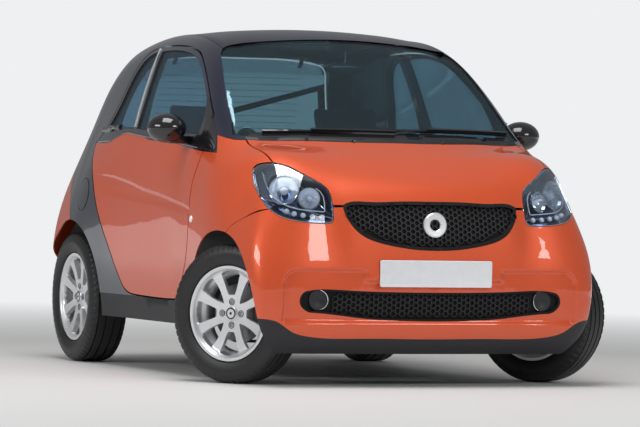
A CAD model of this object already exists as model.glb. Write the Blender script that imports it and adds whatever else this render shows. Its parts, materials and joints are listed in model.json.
# %% [markdown]
# # A two-seat microcar, dressed for the camera
# The solids of the car come from a CAD model, already in place and in metres:
# X runs forward, Y to the car's left and Z up. This file gives them their
# paint, glass, tread, lamps and soft goods, so that the car looks like the one
# in the photograph. It could be modelled again from nothing, but then its
# doors and wheels would no longer match the parts that the motion model uses.

# %% Load the car
import json
import math
import bmesh
import bpy
import numpy as np
from mathutils import Matrix, Vector
from mathutils.bvhtree import BVHTree
from mathutils.interpolate import poly_3d_calc
from mathutils.kdtree import KDTree

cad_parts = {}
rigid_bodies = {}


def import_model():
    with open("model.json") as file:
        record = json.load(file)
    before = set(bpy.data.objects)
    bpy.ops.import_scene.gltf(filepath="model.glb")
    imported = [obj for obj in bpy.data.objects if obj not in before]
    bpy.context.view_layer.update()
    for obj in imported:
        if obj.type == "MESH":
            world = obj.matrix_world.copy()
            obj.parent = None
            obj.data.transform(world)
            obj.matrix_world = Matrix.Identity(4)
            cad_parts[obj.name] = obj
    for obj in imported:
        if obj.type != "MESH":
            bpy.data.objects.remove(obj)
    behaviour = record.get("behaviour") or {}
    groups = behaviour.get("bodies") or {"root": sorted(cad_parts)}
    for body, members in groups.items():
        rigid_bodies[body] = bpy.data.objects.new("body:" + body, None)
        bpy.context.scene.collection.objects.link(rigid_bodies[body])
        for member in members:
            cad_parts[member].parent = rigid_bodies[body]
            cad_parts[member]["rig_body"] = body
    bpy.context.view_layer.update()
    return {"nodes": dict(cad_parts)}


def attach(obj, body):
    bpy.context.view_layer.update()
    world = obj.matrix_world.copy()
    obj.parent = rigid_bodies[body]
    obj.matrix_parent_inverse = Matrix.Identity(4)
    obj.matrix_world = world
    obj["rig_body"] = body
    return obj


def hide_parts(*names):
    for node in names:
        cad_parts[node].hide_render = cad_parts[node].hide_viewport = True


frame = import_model()
nodes = frame["nodes"]

# %% [markdown]
# ## Camera
# The photograph was taken from far away with a long lens, from a little below
# bonnet height and to the car's right. Matching it with a short lens would make
# the near wheel too big, so the camera stands 18 m off with a 231 mm lens. Its
# axes are written out because the picture is also tilted by one degree.

# %% Camera
EYE = Vector((17.15, -7.28, 0.91))
YAW, PITCH, ROLL = math.radians(156.91), math.radians(-0.59), math.radians(1.12)
LENS, SENSOR_WIDTH, FARTHEST = 231.1, 36.0, 200.0


def make_camera():
    forward = Vector((math.cos(PITCH) * math.cos(YAW), math.cos(PITCH) * math.sin(YAW),
                      math.sin(PITCH)))
    level = Vector((math.sin(YAW), -math.cos(YAW), 0.0))
    upright = level.cross(forward)
    right = math.cos(ROLL) * level + math.sin(ROLL) * upright
    up = -math.sin(ROLL) * level + math.cos(ROLL) * upright
    data = bpy.data.cameras.new("camera")
    data.lens = LENS
    data.sensor_width = SENSOR_WIDTH
    data.clip_end = FARTHEST
    camera = bpy.data.objects.new("camera", data)
    turn = Matrix((right, up, -forward)).transposed().to_4x4()
    camera.matrix_world = Matrix.Translation(EYE) @ turn
    bpy.context.scene.collection.objects.link(camera)
    bpy.context.scene.camera = camera
    return camera


camera = make_camera()
print("camera", [round(v, 2) for v in camera.location])

# %% [markdown]
# ## Light and floor
# The object is judged by its own colours, so the light is a soft studio: a
# wide area lamp above, a large side lamp and a weak fill, all white. The floor
# is one pale sheet. A photograph of a place could light the car too, but it
# would put that place into every panel.

# %% Helpers for materials and lamps


def node_material(name):
    material = bpy.data.materials.new(name)
    material.use_nodes = True
    tree = material.node_tree
    shader = tree.nodes["Principled BSDF"]
    return material, tree, shader


def area_lamp(name, place, aim, size, power):
    data = bpy.data.lights.new(name, "AREA")
    data.shape = "RECTANGLE"
    data.size, data.size_y = size
    data.energy = power
    lamp = bpy.data.objects.new(name, data)
    lamp.location = place
    lamp.rotation_mode = "QUATERNION"
    lamp.rotation_quaternion = (Vector(aim) - Vector(place)).to_track_quat("-Z", "Y")
    bpy.context.scene.collection.objects.link(lamp)
    return lamp


# Name, place, aim, width and height in metres, and power in watts
LAMPS = [("lamp_above", (1.5, -1.0, 5.5), (0, 0, 0.5), (3.2, 3.2), 190),
         ("lamp_front", (6.5, 2.5, 3.4), (0.8, 0, 0.6), (2.6, 1.2), 90),
         ("lamp_side", (1.5, -6.5, 3.2), (0, 0, 0.6), (3.6, 1.2), 110)]
for lamp in LAMPS:
    area_lamp(*lamp)
bpy.context.scene.view_settings.view_transform = "Standard"
print("lamps", len(LAMPS))

# %% [markdown]
# ## Floor and backdrop
# The floor takes the car's shadow near the car and fades into the backdrop
# further out, so that no edge is seen. A curved studio wall could do the same,
# but it would show in the side windows. The backdrop is bright for the camera
# and dim for everything else, so it keeps the picture pale without more light
# on the paint.

# %% Floor and backdrop
FLOOR_PALE = (0.80, 0.80, 0.79, 1.0)
WORLD_PALE = (0.86, 0.87, 0.88, 1.0)
FLOOR_ROUGHNESS, FLOOR_HALF = 0.6, 40
FADE_START, FADE_END = 3.0, 9.0
WORLD_DIM, WORLD_BRIGHT = 0.30, 1.0


def floor_finish():
    """Pale floor near the car that turns into the backdrop's colour further out."""
    material, tree, shader = node_material("floor_pale")
    shader.inputs["Base Color"].default_value = FLOOR_PALE
    shader.inputs["Roughness"].default_value = FLOOR_ROUGHNESS
    spread = tree.nodes.new("ShaderNodeTexCoord")
    length = tree.nodes.new("ShaderNodeVectorMath")
    length.operation = "LENGTH"
    fade = tree.nodes.new("ShaderNodeMapRange")
    fade.inputs["From Min"].default_value = FADE_START
    fade.inputs["From Max"].default_value = FADE_END
    even = tree.nodes.new("ShaderNodeEmission")
    even.inputs["Color"].default_value = WORLD_PALE
    mix = tree.nodes.new("ShaderNodeMixShader")
    tree.links.new(spread.outputs["Object"], length.inputs[0])
    tree.links.new(length.outputs["Value"], fade.inputs["Value"])
    tree.links.new(fade.outputs["Result"], mix.inputs["Fac"])
    tree.links.new(shader.outputs["BSDF"], mix.inputs[1])
    tree.links.new(even.outputs["Emission"], mix.inputs[2])
    tree.links.new(mix.outputs["Shader"], tree.nodes["Material Output"].inputs["Surface"])
    return material


def make_floor():
    corners = [(-FLOOR_HALF, -FLOOR_HALF, 0), (FLOOR_HALF, -FLOOR_HALF, 0),
               (FLOOR_HALF, FLOOR_HALF, 0), (-FLOOR_HALF, FLOOR_HALF, 0)]
    mesh = bpy.data.meshes.new("floor")
    mesh.from_pydata(corners, [], [(0, 1, 2, 3)])
    mesh.materials.append(floor_finish())
    floor = bpy.data.objects.new("floor", mesh)
    bpy.context.scene.collection.objects.link(floor)


def make_backdrop():
    world = bpy.data.worlds.new("studio")
    bpy.context.scene.world = world
    world.use_nodes = True
    tree = world.node_tree
    background = tree.nodes["Background"]
    background.inputs["Color"].default_value = WORLD_PALE
    path = tree.nodes.new("ShaderNodeLightPath")
    seen = tree.nodes.new("ShaderNodeMath")
    seen.operation = "MAXIMUM"
    tree.links.new(path.outputs["Is Camera Ray"], seen.inputs[0])
    tree.links.new(path.outputs["Is Transmission Ray"], seen.inputs[1])
    strength = tree.nodes.new("ShaderNodeMapRange")
    tree.links.new(seen.outputs[0], strength.inputs["Value"])
    strength.inputs["To Min"].default_value = WORLD_DIM
    strength.inputs["To Max"].default_value = WORLD_BRIGHT
    tree.links.new(strength.outputs["Result"], background.inputs["Strength"])


make_floor()
make_backdrop()
print("floor fades from", FADE_START, "to", FADE_END, "m")

# %% [markdown]
# ## Finishes
# Each finish is one material built from nodes. A helper makes the plain part
# (colour, roughness, metal, coat) and one of a few small patterns: fine
# mottling that shifts the colour, and a grain that goes to the bump. Pictures
# of real surfaces could be wrapped round the pieces, but the patterns need no
# wrapping. They read Object coordinates, so they stay on the piece in every view.

# %% Helpers for finishes
MOTTLE_LOW, MOTTLE_HIGH = 0.35, 0.65
GRAIN_STRENGTH, GRAIN_DETAIL = 0.4, 4.0
COAT_ROUGHNESS = 0.03


def noise(tree, scale, detail=2.0):
    coordinates = tree.nodes.new("ShaderNodeTexCoord")
    texture = tree.nodes.new("ShaderNodeTexNoise")
    texture.inputs["Scale"].default_value = scale
    texture.inputs["Detail"].default_value = detail
    tree.links.new(coordinates.outputs["Object"], texture.inputs["Vector"])
    return texture


def mottle(tree, shader, colour, scale, amount):
    texture = noise(tree, scale)
    ramp = tree.nodes.new("ShaderNodeValToRGB")
    low = [max(c * (1 - amount), 0) for c in colour[:3]] + [1]
    high = [min(c * (1 + amount), 1) for c in colour[:3]] + [1]
    ramp.color_ramp.elements[0].position = MOTTLE_LOW
    ramp.color_ramp.elements[1].position = MOTTLE_HIGH
    ramp.color_ramp.elements[0].color = low
    ramp.color_ramp.elements[1].color = high
    tree.links.new(texture.outputs["Fac"], ramp.inputs["Fac"])
    tree.links.new(ramp.outputs["Color"], shader.inputs["Base Color"])


def grain(tree, shader, scale, height):
    texture = noise(tree, scale, GRAIN_DETAIL)
    bump = tree.nodes.new("ShaderNodeBump")
    bump.inputs["Strength"].default_value = GRAIN_STRENGTH
    bump.inputs["Distance"].default_value = height
    tree.links.new(texture.outputs["Fac"], bump.inputs["Height"])
    tree.links.new(bump.outputs["Normal"], shader.inputs["Normal"])


def finish(name, colour, roughness, metal=0.0, coat=0.0, mottling=None, graining=None):
    material, tree, shader = node_material(name)
    shader.inputs["Base Color"].default_value = (*colour, 1.0)
    shader.inputs["Roughness"].default_value = roughness
    shader.inputs["Metallic"].default_value = metal
    shader.inputs["Coat Weight"].default_value = coat
    shader.inputs["Coat Roughness"].default_value = COAT_ROUGHNESS
    if mottling:
        mottle(tree, shader, colour, *mottling)
    if graining:
        grain(tree, shader, *graining)
    material.diffuse_color = (*colour, 1.0)
    return material


# %% [markdown]
# ## Glass
# The panes are thin, so light goes through almost straight. Real refraction
# would need both faces of each pane and many more rays. A mix of a tinted
# see-through shader and a mirror, weighted by the angle of view, looks the same.

# %% Helper for panes
GLASS_INDEX, GLASS_ROUGHNESS = 1.45, 0.02
GLASS_MIRROR = (0.9, 0.95, 1.0, 1.0)


def glass(name, tint, shine):
    """Thin pane: most light passes with a tint, and some is reflected."""
    material = bpy.data.materials.new(name)
    material.use_nodes = True
    tree = material.node_tree
    tree.nodes.remove(tree.nodes["Principled BSDF"])
    out = tree.nodes["Material Output"]
    clear = tree.nodes.new("ShaderNodeBsdfTransparent")
    clear.inputs["Color"].default_value = (*tint, 1.0)
    mirror = tree.nodes.new("ShaderNodeBsdfGlossy")
    mirror.inputs["Color"].default_value = GLASS_MIRROR
    mirror.inputs["Roughness"].default_value = GLASS_ROUGHNESS
    fresnel = tree.nodes.new("ShaderNodeFresnel")
    fresnel.inputs["IOR"].default_value = GLASS_INDEX
    weight = tree.nodes.new("ShaderNodeMath")
    weight.operation = "MULTIPLY"
    weight.inputs[1].default_value = shine
    mix = tree.nodes.new("ShaderNodeMixShader")
    tree.links.new(fresnel.outputs["Fac"], weight.inputs[0])
    tree.links.new(weight.outputs[0], mix.inputs["Fac"])
    tree.links.new(clear.outputs[0], mix.inputs[1])
    tree.links.new(mirror.outputs[0], mix.inputs[2])
    tree.links.new(mix.outputs[0], out.inputs["Surface"])
    material.diffuse_color = (*tint, 0.4)
    return material


# %% [markdown]
# ## The finishes of this car
# Each line gives a name, a colour, the roughness, how much it is a metal, its
# clear coat, and the size and strength of its patterns. Panes give their tint
# and how strongly they mirror. One table keeps them side by side, so that two
# blacks can be told apart.

# %% Table of finishes
PAINT = finish("orange_paint", (0.74, 0.085, 0.012), 0.42, 0.30, 1.0, (900.0, 0.16))
DARK_PAINT = finish("dark_paint", (0.008, 0.010, 0.030), 0.25, 0.2, 1.0, (900.0, 0.3))
ROOF_BLACK = finish("roof_black", (0.008, 0.009, 0.022), 0.30, 0.0, 0.5, (40.0, 0.1))
SATIN_TRIM = finish("satin_trim", (0.012, 0.013, 0.017), 0.48, 0.0, 0.0, (60.0, 0.12),
                    (2200.0, 0.0002))
GLOSS_TRIM = finish("gloss_trim", (0.010, 0.010, 0.012), 0.12, 0.0, 0.6, (80.0, 0.1))
RUBBER = finish("seal_rubber", (0.012, 0.012, 0.012), 0.7, 0.0, 0.0, (300.0, 0.2),
                (1500.0, 0.0001))
TYRE = finish("tyre_rubber", (0.012, 0.012, 0.013), 0.42, 0.0, 0.0, (120.0, 0.25),
              (900.0, 0.0003))
SILVER = finish("silver_lacquer", (0.78, 0.79, 0.81), 0.34, 0.55, 0.6, (1400.0, 0.08))
CHROME = finish("chrome", (0.85, 0.86, 0.88), 0.06, 1.0, 0.0, (30.0, 0.03))
STEEL = finish("machined_steel", (0.42, 0.42, 0.43), 0.32, 1.0, 0.0, (500.0, 0.15),
               (800.0, 0.0001))
IRON = finish("cast_iron", (0.10, 0.10, 0.105), 0.6, 0.7, 0.0, (200.0, 0.3), (600.0, 0.0006))
COATED = finish("coated_steel", (0.02, 0.02, 0.022), 0.5, 0.3, 0.0, (90.0, 0.2),
                (700.0, 0.0003))
DASH = finish("dash_plastic", (0.012, 0.012, 0.014), 0.62, 0.0, 0.0, (200.0, 0.15),
              (1300.0, 0.0006))
CLEAR_GLASS = glass("clear_glass", (0.56, 0.68, 0.72), 0.35)
SIDE_GLASS = glass("side_glass", (0.52, 0.66, 0.74), 0.45)
LAMP_LENS = glass("lamp_lens", (0.90, 0.94, 0.99), 0.7)
PLATE_WHITE = finish("plate_white", (0.83, 0.85, 0.88), 0.35, 0.0, 0.3, (30.0, 0.02))
GLOW = finish("led_white", (0.95, 0.97, 1.0), 0.2, 0.0, 0.5, (200.0, 0.03))
FABRIC = finish("seat_cloth", (0.018, 0.018, 0.022), 0.85, 0.0, 0.0, (700.0, 0.35),
                (1600.0, 0.0008))
NET_BLACK = finish("net_black", (0.014, 0.014, 0.017), 0.55, 0.0, 0.0, (100.0, 0.1))
MATT_BLACK = finish("matt_black", (0.004, 0.004, 0.005), 0.9, 0.0, 0.0, (100.0, 0.1))
RED_LENS = finish("red_lens", (0.42, 0.008, 0.008), 0.12, 0.0, 1.0, (300.0, 0.25))
print("finishes", len(bpy.data.materials))

# %% [markdown]
# ## Carry the CAD pieces over
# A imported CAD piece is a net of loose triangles, which would show as facets in
# gloss paint. A copy is welded, its shallow edges are smoothed and its sharp
# ones kept, and the copy stands for the CAD piece. A remesh would smooth it as
# well, but it would round the door gaps away.

# %% Weld and even out the normals
WELD_REACH = 0.00002
SMOOTH_ANGLE = 32.0


def smoothstep(low, high, value):
    t = min(max((value - low) / (high - low), 0.0), 1.0)
    return t * t * (3.0 - 2.0 * t)


def weld(node, angle=SMOOTH_ANGLE):
    mesh = nodes[node].data.copy()
    mesh.name = node + "_skin"
    work = bmesh.new()
    work.from_mesh(mesh)
    bmesh.ops.remove_doubles(work, verts=work.verts, dist=WELD_REACH)
    work.to_mesh(mesh)
    work.free()
    mesh.polygons.foreach_set("use_smooth", [True] * len(mesh.polygons))
    mesh.set_sharp_from_angle(angle=math.radians(angle))
    return mesh


CALM_REACH, CALM_SPACING = 0.022, 0.008
CALM_FACING, CALM_EDGE = 0.82, 1.02
GOLDEN_SHARE = 0.618034


def calm(mesh):
    """Corner normals averaged over a small patch, so that long thin triangles
    leave no streaks in the gloss. Faces turned by over 35 degrees don't count."""
    places, normals, weights = [], [], []
    for polygon in mesh.polygons:
        a, b, c = [mesh.vertices[v].co for v in polygon.vertices[:3]]
        count = max(1, int(polygon.area / CALM_SPACING ** 2))
        for i in range(count):
            u = (i + 0.5) / count
            v = (i * GOLDEN_SHARE) % 1.0
            root = math.sqrt(u)
            places.append(a * (1 - root) + b * (root * (1 - v)) + c * (root * v))
            normals.append(polygon.normal)
            weights.append(polygon.area / count)
    tree = KDTree(len(places))
    for i, place in enumerate(places):
        tree.insert(place, i)
    tree.balance()
    normals = np.array(normals)
    weights = np.array(weights)
    found = {}
    corners = []
    for polygon in mesh.polygons:
        own = polygon.normal
        for v in polygon.vertices:
            key = (v, round(own.x, 1), round(own.y, 1), round(own.z, 1))
            if key not in found:
                near = tree.find_range(mesh.vertices[v].co, CALM_REACH)
                index = np.array([n[1] for n in near], dtype=int)
                reach = np.array([n[2] for n in near])
                facing = normals[index] @ np.array(own)
                share = weights[index] * np.clip(facing - CALM_FACING, 0, 1)
                share = share * (CALM_EDGE - reach / CALM_REACH) ** 2
                total = (normals[index] * share[:, None]).sum(axis=0)
                size = float(np.linalg.norm(total))
                found[key] = Vector(total / size) if size > 1e-12 else own.copy()
            corners.append(found[key])
    return corners


# %% [markdown]
# ## Pressed forms
# Some panels have soft forms pressed into them: the pocket round the number
# plate and the lower intake, and the long hollow along each door. They could be
# sculpted, but then left and right would differ. A press moves metal one way
# only, so these are made as a shift along one axis, whose depth depends on the
# other two. The panel is first cut into a fine grid, and its normals are worked
# out from the same rule, so that the gloss stays even.

# %% Press a panel
SLOPE_STEP = 0.0005
CUT_REACH = 1e-6


def cut_in_grid(mesh, across, low, high, pitch):
    """Cuts the faces along planes square to one axis, from low to high."""
    work = bmesh.new()
    work.from_mesh(mesh)
    normal = [0.0, 0.0, 0.0]
    normal[across] = 1.0
    for i in range(int((high - low) / pitch) + 1):
        place = [0.0, 0.0, 0.0]
        place[across] = low + i * pitch
        bmesh.ops.bisect_plane(work, geom=work.verts[:] + work.edges[:] + work.faces[:],
                               plane_co=place, plane_no=normal, dist=CUT_REACH)
    work.to_mesh(mesh)
    work.free()


def press(mesh, axis, depth, cuts):
    """Shifts the mesh along one axis by depth(point), and tilts its normals to suit."""
    plain = mesh.copy()
    corners = calm(plain)
    tree = BVHTree.FromPolygons([v.co.copy() for v in plain.vertices],
                                [tuple(p.vertices) for p in plain.polygons])
    for across, low, high, pitch in cuts:
        cut_in_grid(mesh, across, low, high, pitch)
    normals = []
    for polygon in mesh.polygons:
        index = tree.find_nearest(polygon.center)[2]
        source = plain.polygons[index]
        shape = [plain.vertices[v].co for v in source.vertices]
        for loop in polygon.loop_indices:
            point = mesh.vertices[mesh.loops[loop].vertex_index].co
            weights = poly_3d_calc(shape, point)
            normal = Vector((0, 0, 0))
            for share, corner in zip(weights, source.loop_indices):
                normal += share * corners[corner]
            here = depth(point)
            slope = Vector((0, 0, 0))
            for k in range(3):
                if k != axis:
                    beside = point.copy()
                    beside[k] += SLOPE_STEP
                    slope[k] = (depth(beside) - here) / SLOPE_STEP
            tilted = normal - slope * normal[axis]
            normals.append(tilted.normalized())
    for vertex in mesh.vertices:
        vertex.co[axis] += depth(vertex.co)
    mesh.polygons.foreach_set("use_smooth", [True] * len(mesh.polygons))
    mesh.normals_split_custom_set(normals)
    bpy.data.meshes.remove(plain)


# %% [markdown]
# ## Put a piece on its body
# Every piece rides on one body of the motion model, so that a door takes its
# glass, mirror and seals along. A piece that stands for a CAD piece says so,
# and any other names the slot that its finish belongs to.


def show(name, mesh, material, body, stands_for=()):
    """Makes the object of a finished mesh, at the origin, and lets it ride."""
    mesh.materials.clear()
    mesh.materials.append(material)
    piece = bpy.data.objects.new(name, mesh)
    bpy.context.scene.collection.objects.link(piece)
    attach(piece, body)
    if stands_for:
        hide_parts(*stands_for)
    return piece


def carry(node, material, angle=SMOOTH_ANGLE, pressed=None, gloss=False):
    mesh = weld(node, angle)
    if pressed:
        press(mesh, *pressed)
    elif gloss:
        mesh.normals_split_custom_set(calm(mesh))
    return show(node + "_dressed", mesh, material, nodes[node]["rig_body"], [node])


# %% [markdown]
# ## Pocket of the bumper
# The bumper sinks in round the lower intake, with a rounded shoulder at the top
# and the sides, and a flat pad stays where the number plate is screwed on. The
# depth is one rule, so the intake's net and the fog lamps can follow it too.

# %% Pocket of the bumper, seen from the front
POCKET_DEPTH, POCKET_FROM_X = 0.017, 1.0
POCKET_TOP, POCKET_BOTTOM, POCKET_HALF, POCKET_ROUND = 0.508, 0.262, 0.690, 0.070
SHOULDER_WIDTH, LIP_WIDTH = 0.022, 0.03
PAD_HALF, PAD_HALF_OUTER = 0.300, 0.335
PAD_BOTTOM, PAD_FULL = 0.440, 0.462


def pocket(point):
    across, height = abs(point.y), point.z
    if point.x < POCKET_FROM_X:
        return 0.0
    past_side = max(across - (POCKET_HALF - POCKET_ROUND), 0.0)
    past_top = max(height - (POCKET_TOP - POCKET_ROUND), 0.0)
    edge = POCKET_ROUND - math.hypot(past_side, past_top)
    shoulder = smoothstep(0.0, SHOULDER_WIDTH, edge)
    bottom = smoothstep(POCKET_BOTTOM, POCKET_BOTTOM + LIP_WIDTH, height)
    pad = 1.0 - smoothstep(PAD_HALF, PAD_HALF_OUTER, across)
    plate_pad = pad * smoothstep(PAD_BOTTOM, PAD_FULL, height)
    return -POCKET_DEPTH * shoulder * bottom * (1.0 - plate_pad)


print("pocket is", POCKET_DEPTH, "m deep")

# %% [markdown]
# ## Hollow of the door
# A long shallow hollow runs along the door. It starts at a crisp upper line,
# fades out softly at the lower one, and dies away towards the rear.

# %% Hollow of the door, between two lines given as (x, z)
UPPER_LINE = [(-0.90, 0.882), (-0.678, 0.882), (-0.480, 0.872), (-0.278, 0.848),
              (-0.059, 0.815), (0.152, 0.795), (0.424, 0.759), (0.60, 0.730)]
LOWER_LINE = [(-0.90, 0.80), (-0.562, 0.786), (-0.355, 0.766), (0.036, 0.744),
              (0.297, 0.726), (0.60, 0.697)]
HOLLOW_DEPTH = 0.0045
UPPER_SPREAD, LOWER_SPREAD, REAR_SPREAD = (-0.002, 0.012), (-0.004, 0.034), (-0.80, -0.45)


def along(line, x):
    for (x0, z0), (x1, z1) in zip(line, line[1:]):
        if x0 <= x <= x1:
            return z0 + (z1 - z0) * (x - x0) / (x1 - x0)
    return line[0][1] if x < line[0][0] else line[-1][1]


def hollow(point):
    upper = smoothstep(*UPPER_SPREAD, along(UPPER_LINE, point.x) - point.z)
    lower = smoothstep(*LOWER_SPREAD, point.z - along(LOWER_LINE, point.x))
    fade = smoothstep(*REAR_SPREAD, point.x)
    return -math.copysign(HOLLOW_DEPTH, point.y) * upper * lower * fade


print("hollow is", HOLLOW_DEPTH, "m deep")

# %% [markdown]
# ## Which piece wears which finish
# The table names the CAD pieces of each finish. A rule gives the axis of the
# press, the depth, and the grid as (axis, from, to, pitch).

# %% Dress the CAD pieces
POCKET_RULE = (0, pocket, [(1, -0.72, 0.72, 0.012), (2, 0.25, 0.52, 0.006)])
DOOR_RULE = (1, hollow, [(0, -0.8, 0.56, 0.04), (2, 0.69, 0.90, 0.006)])
PAINTED = {
    PAINT: ["bonnet", "front_wings", "front_bumper", "rear_bumper", "tailgate",
            "door_panel_left", "door_panel_right"],
    DARK_PAINT: ["safety_cell", "door_shell_left", "door_shell_right"],
    ROOF_BLACK: ["roof_panel"],
    SATIN_TRIM: ["sills", "front_lower_trim", "rear_lower_trim", "scuttle_panel",
                 "wheelhouse_liners", "headlamp_housings", "fog_lamps"],
    MATT_BLACK: ["grille_upper", "grille_lower"],
    GLOSS_TRIM: ["mirror_left", "mirror_right", "interior_mirror"],
    CLEAR_GLASS: ["windscreen", "hatch_glass"],
    SIDE_GLASS: ["door_glass_left", "door_glass_right"],
    LAMP_LENS: ["headlamp_lenses"],
    RED_LENS: ["rear_lamps"],
    TYRE: ["tyre_front_left", "tyre_front_right", "tyre_rear_left", "tyre_rear_right"],
    SILVER: ["rim_front_left", "rim_front_right", "rim_rear_left", "rim_rear_right"],
    STEEL: ["disc_front_left", "disc_front_right", "steering_rack", "exhaust",
            "hatch_hinges", "tailgate_brackets"],
    IRON: ["drum_rear_left", "drum_rear_right", "knuckle_left", "knuckle_right",
           "engine_block"],
    DASH: ["dashboard", "steering_wheel", "steering_column"],
    COATED: ["floor_pan", "seat_plinths", "front_subframe", "front_struts", "rear_axle",
             "rear_springs", "rack_housing"],
    FABRIC: ["seat_left", "seat_right"],
}
PRESSED = {"front_bumper": POCKET_RULE, "grille_lower": POCKET_RULE,
           "fog_lamps": POCKET_RULE, "door_panel_left": DOOR_RULE,
           "door_panel_right": DOOR_RULE}
ROUNDER = {"mirror_left": 65.0, "mirror_right": 65.0}
GLOSSY = (PAINT, DARK_PAINT, ROOF_BLACK, CLEAR_GLASS, SIDE_GLASS, LAMP_LENS, RED_LENS)
dressed = {}
for material, names in PAINTED.items():
    for name in names:
        dressed[name] = carry(name, material, ROUNDER.get(name, SMOOTH_ANGLE),
                              PRESSED.get(name), gloss=material in GLOSSY)
left_out = sorted(set(nodes) - set(dressed))
print("carried", len(dressed), "left", left_out)

# %% [markdown]
# ## Seals, rims and dark borders
# Each pane sits in a black rubber seal, each lamp in a thin rim, and the
# windscreen has a dark painted border that hides its glue. They all follow
# the edge of a CAD piece. They could be drawn by eye, but then gaps would show.
# So the edge is read off that piece as a closed loop, and a small section is
# swept along it.

# %% Read the edge of a piece
LOOP_PITCH, EDGE_TURN = 0.012, 0.6


def outer_loops(node, outward, shortest=0.3, steep=0.5):
    """Closed loops of (point, surface normal) round the outward faces of a node."""
    work = bmesh.new()
    work.from_mesh(nodes[node].data)
    bmesh.ops.remove_doubles(work, verts=work.verts, dist=WELD_REACH)
    work.normal_update()
    links = {}
    for edge in work.edges:
        if len(edge.link_faces) != 2:
            continue
        one, two = edge.link_faces
        middle = (edge.verts[0].co + edge.verts[1].co) / 2
        out = outward(middle)
        if one.normal.dot(out) < two.normal.dot(out):
            one, two = two, one
        if one.normal.dot(out) > steep and one.normal.dot(two.normal) < EDGE_TURN:
            for a, b in (tuple(edge.verts), tuple(edge.verts)[::-1]):
                links.setdefault(a, []).append((b, one.normal.copy()))
    loops, used = [], set()
    for start in list(links):
        if start in used or len(links[start]) != 2:
            continue
        chain, vertex, before = [], start, None
        while vertex not in used and vertex in links:
            used.add(vertex)
            normal = sum((n for v, n in links[vertex]), Vector((0, 0, 0))).normalized()
            chain.append((vertex.co.copy(), normal))
            ahead = [v for v, n in links[vertex] if v is not before and v not in used]
            before = vertex
            if not ahead:
                break
            vertex = ahead[0]
        length = sum((chain[i][0] - chain[i - 1][0]).length for i in range(len(chain)))
        if length > shortest:
            loops.append(even_spaced(chain, LOOP_PITCH))
    work.free()
    return loops


FEWEST_POINTS = 8


def even_spaced(chain, pitch, closed=True):
    """The same path with its points about one pitch apart."""
    points = chain + chain[:1] if closed else chain
    lengths = [(points[i + 1][0] - points[i][0]).length for i in range(len(points) - 1)]
    total = sum(lengths)
    count = max(FEWEST_POINTS, int(total / pitch))
    result, i, passed = [], 0, 0.0
    for k in range(count if closed else count + 1):
        target = total * k / count
        while i < len(lengths) - 1 and passed + lengths[i] < target:
            passed += lengths[i]
            i += 1
        t = (target - passed) / lengths[i] if lengths[i] > 1e-9 else 0.0
        t = min(max(t, 0.0), 1.0)
        place = points[i][0].lerp(points[i + 1][0], t)
        normal = points[i][1].lerp(points[i + 1][1], t).normalized()
        result.append((place, normal))
    return result


# %% Sweep a section along a path
def frames_along(path, closed, centre=None):
    """Point, normal and outside direction at each step of a path."""
    count = len(path)
    frames = []
    for i, (place, normal) in enumerate(path):
        if closed:
            ahead, behind = path[(i + 1) % count][0], path[i - 1][0]
        else:
            ahead, behind = path[min(i + 1, count - 1)][0], path[max(i - 1, 0)][0]
        side = (ahead - behind).normalized().cross(normal).normalized()
        frames.append((place, normal, side))
    if centre is not None:
        outside = sum((p - centre).dot(s) for p, n, s in frames)
        if outside < 0:
            frames = [(p, n, -s) for p, n, s in frames]
    return frames


def ring_faces(steps, count):
    """Faces between copies of a closed outline of count points, all the way round."""
    faces = []
    for k in range(steps):
        for i in range(count):
            j = (i + 1) % count
            ahead = ((k + 1) % steps) * count
            faces.append((k * count + i, k * count + j, ahead + j, ahead + i))
    return faces


def sweep_mesh(name, path, section, closed=True):
    """Mesh of a section, pairs of (outside, above), carried along the path."""
    if closed:
        centre = sum((p for p, n in path), Vector((0, 0, 0))) / len(path)
    else:
        centre = None
    frames = frames_along(path, closed, centre)
    rows, columns = len(frames), len(section)
    points = [place + side * out + normal * up for place, normal, side in frames
              for out, up in section]
    faces = ring_faces(rows, columns)
    if not closed:
        faces = faces[:-columns]
        faces.append(tuple(range(columns))[::-1])
        faces.append(tuple((rows - 1) * columns + j for j in range(columns)))
    mesh = bpy.data.meshes.new(name)
    mesh.from_pydata(points, [], faces)
    tidy(mesh)
    return mesh


# %% Finish a mesh and join several
NEW_PIECE_ANGLE = 40.0


def tidy(mesh, angle=NEW_PIECE_ANGLE):
    """Turns all faces outwards and smooths the shallow edges."""
    work = bmesh.new()
    work.from_mesh(mesh)
    bmesh.ops.recalc_face_normals(work, faces=work.faces)
    work.to_mesh(mesh)
    work.free()
    mesh.polygons.foreach_set("use_smooth", [True] * len(mesh.polygons))
    mesh.set_sharp_from_angle(angle=math.radians(angle))


def joined(name, meshes):
    """One mesh from several."""
    work = bmesh.new()
    for mesh in meshes:
        work.from_mesh(mesh)
    whole = bpy.data.meshes.new(name)
    work.to_mesh(whole)
    work.free()
    for mesh in meshes:
        bpy.data.meshes.remove(mesh)
    tidy(whole)
    return whole


# %% [markdown]
# ## The seals themselves
# A section is given as pairs: how far outside the edge, and how far above the
# surface. The rubber has a rounded back, the painted border is flat and lies on
# the glass, and the lamp's rim is thin.

# %% Seals, borders and lamp rims
def side_out(point):
    return Vector((0, 1 if point.y > 0 else -1, 0))


def front_out(point):
    return Vector((0.8, 0, 0.6))


def rear_out(point):
    return Vector((-0.8, 0, 0.6))


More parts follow.
